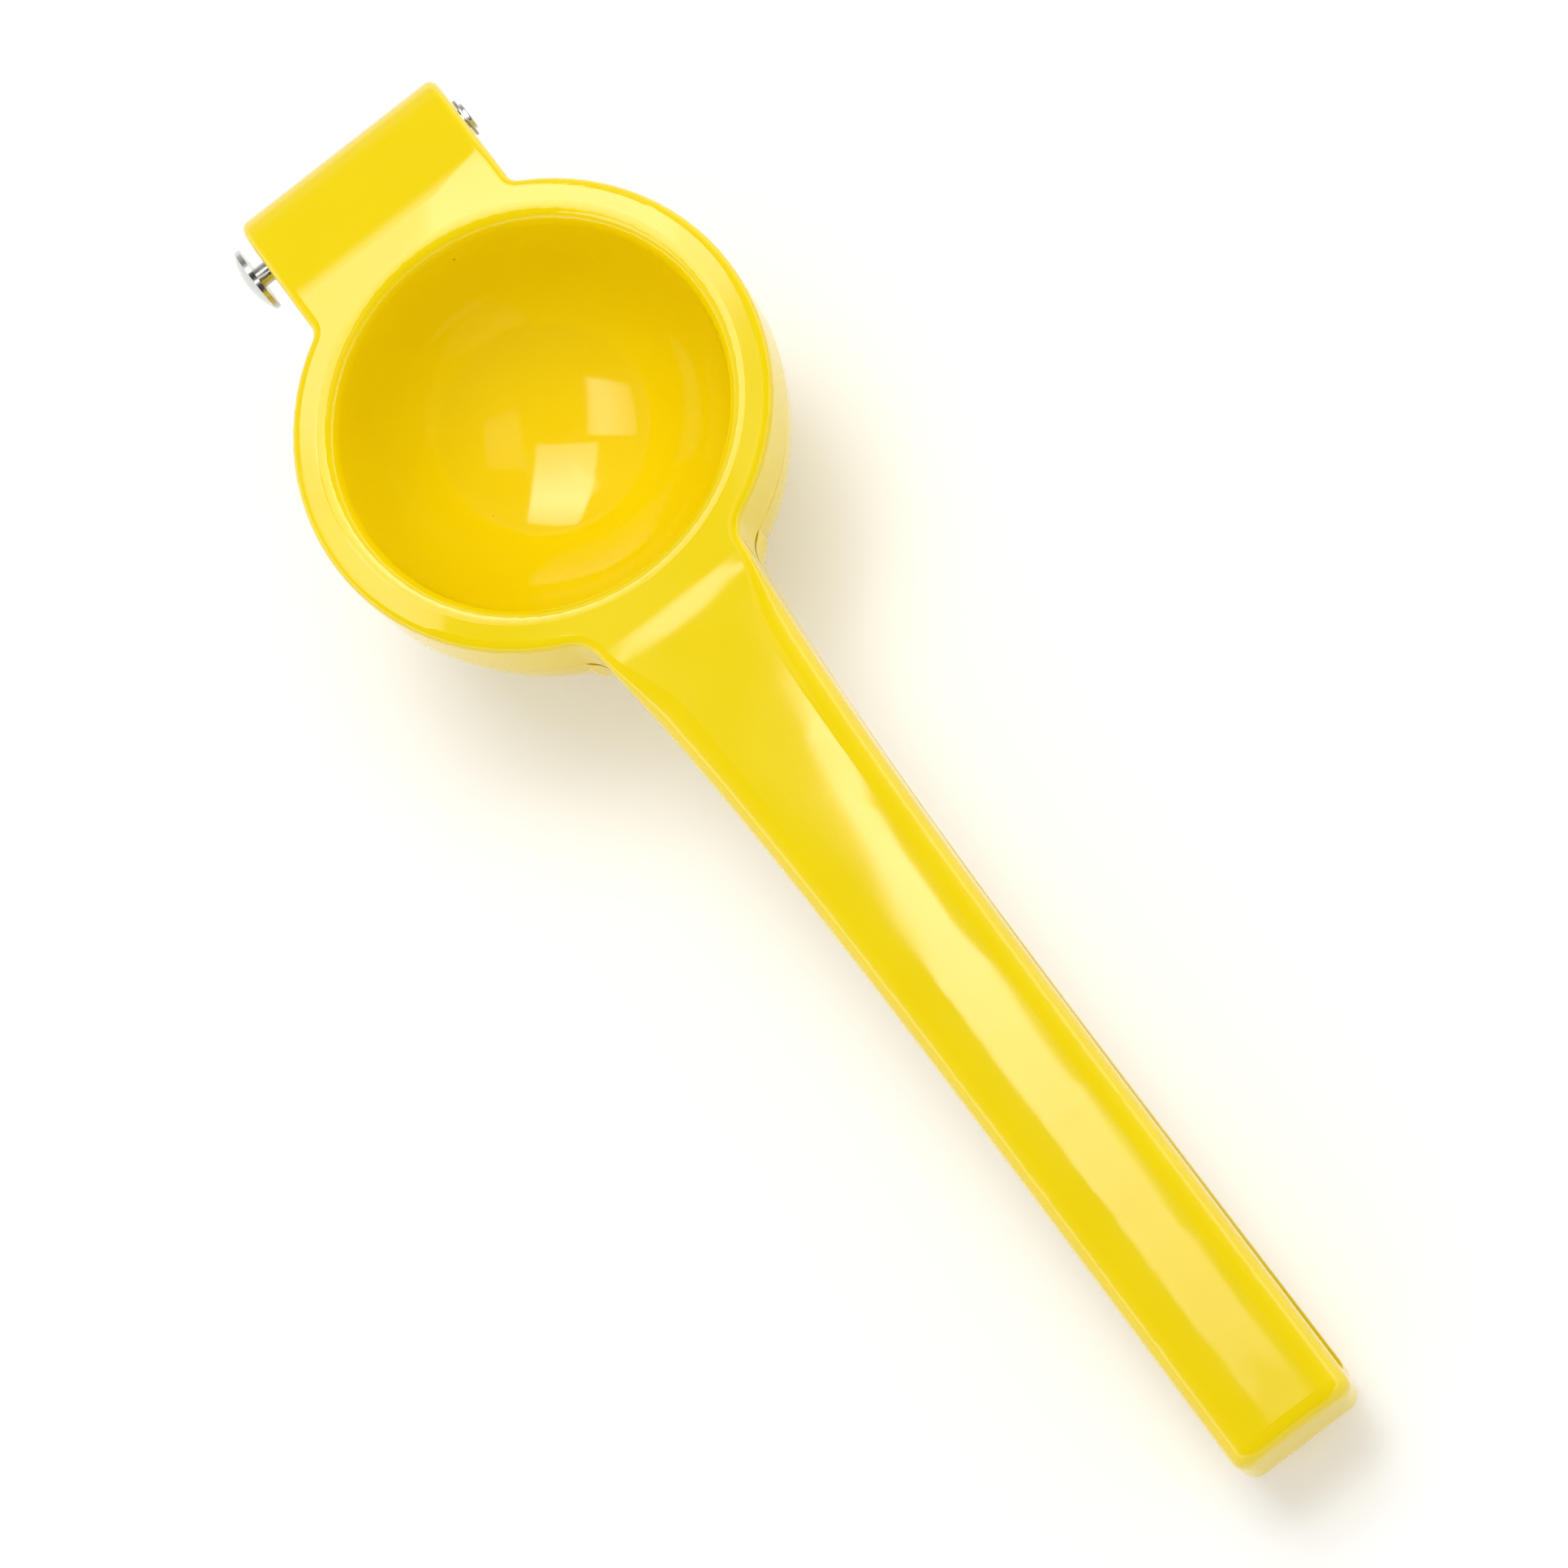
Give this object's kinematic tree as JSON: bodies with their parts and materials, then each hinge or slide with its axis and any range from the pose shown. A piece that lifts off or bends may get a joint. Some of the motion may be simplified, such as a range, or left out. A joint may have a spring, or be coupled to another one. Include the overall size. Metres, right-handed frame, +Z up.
{
  "type": "citrus squeezer",
  "caption": "Hand lever citrus squeezer: an enamelled press cup and handle close into a perforated bowl and handle, hinged on a steel rivet under a hood.",
  "frame": {"origin": "on the table under the middle of the closed squeezer as it lies", "axes": "+X along the handles towards their tip, +Y along the rivet, +Z up from the table"},
  "size_m": [0.2177, 0.0652, 0.0453],
  "materials": {
    "enamel": "glossy yellow enamel",
    "rivet_steel": "bright plated steel"
  },
  "bodies": {
    "strainer": {"strainer_arm": "enamel"},
    "press": {"press_arm": "enamel"},
    "rivet": {"hinge_rivet": "rivet_steel", "rivet_washer": "rivet_steel"}
  },
  "joints": [
    {"name": "arm_hinge", "type": "hinge", "parent": "strainer", "child": "press", "pos_m": [-0.10186, 0, 0.03822], "axis": [0, -1, 0], "range_deg": [0, 115]},
    {"name": "rivet_float", "type": "slide", "parent": "strainer", "child": "rivet", "axis": [0, 1, 0], "range_m": [0, 0.0019]}
  ]
}
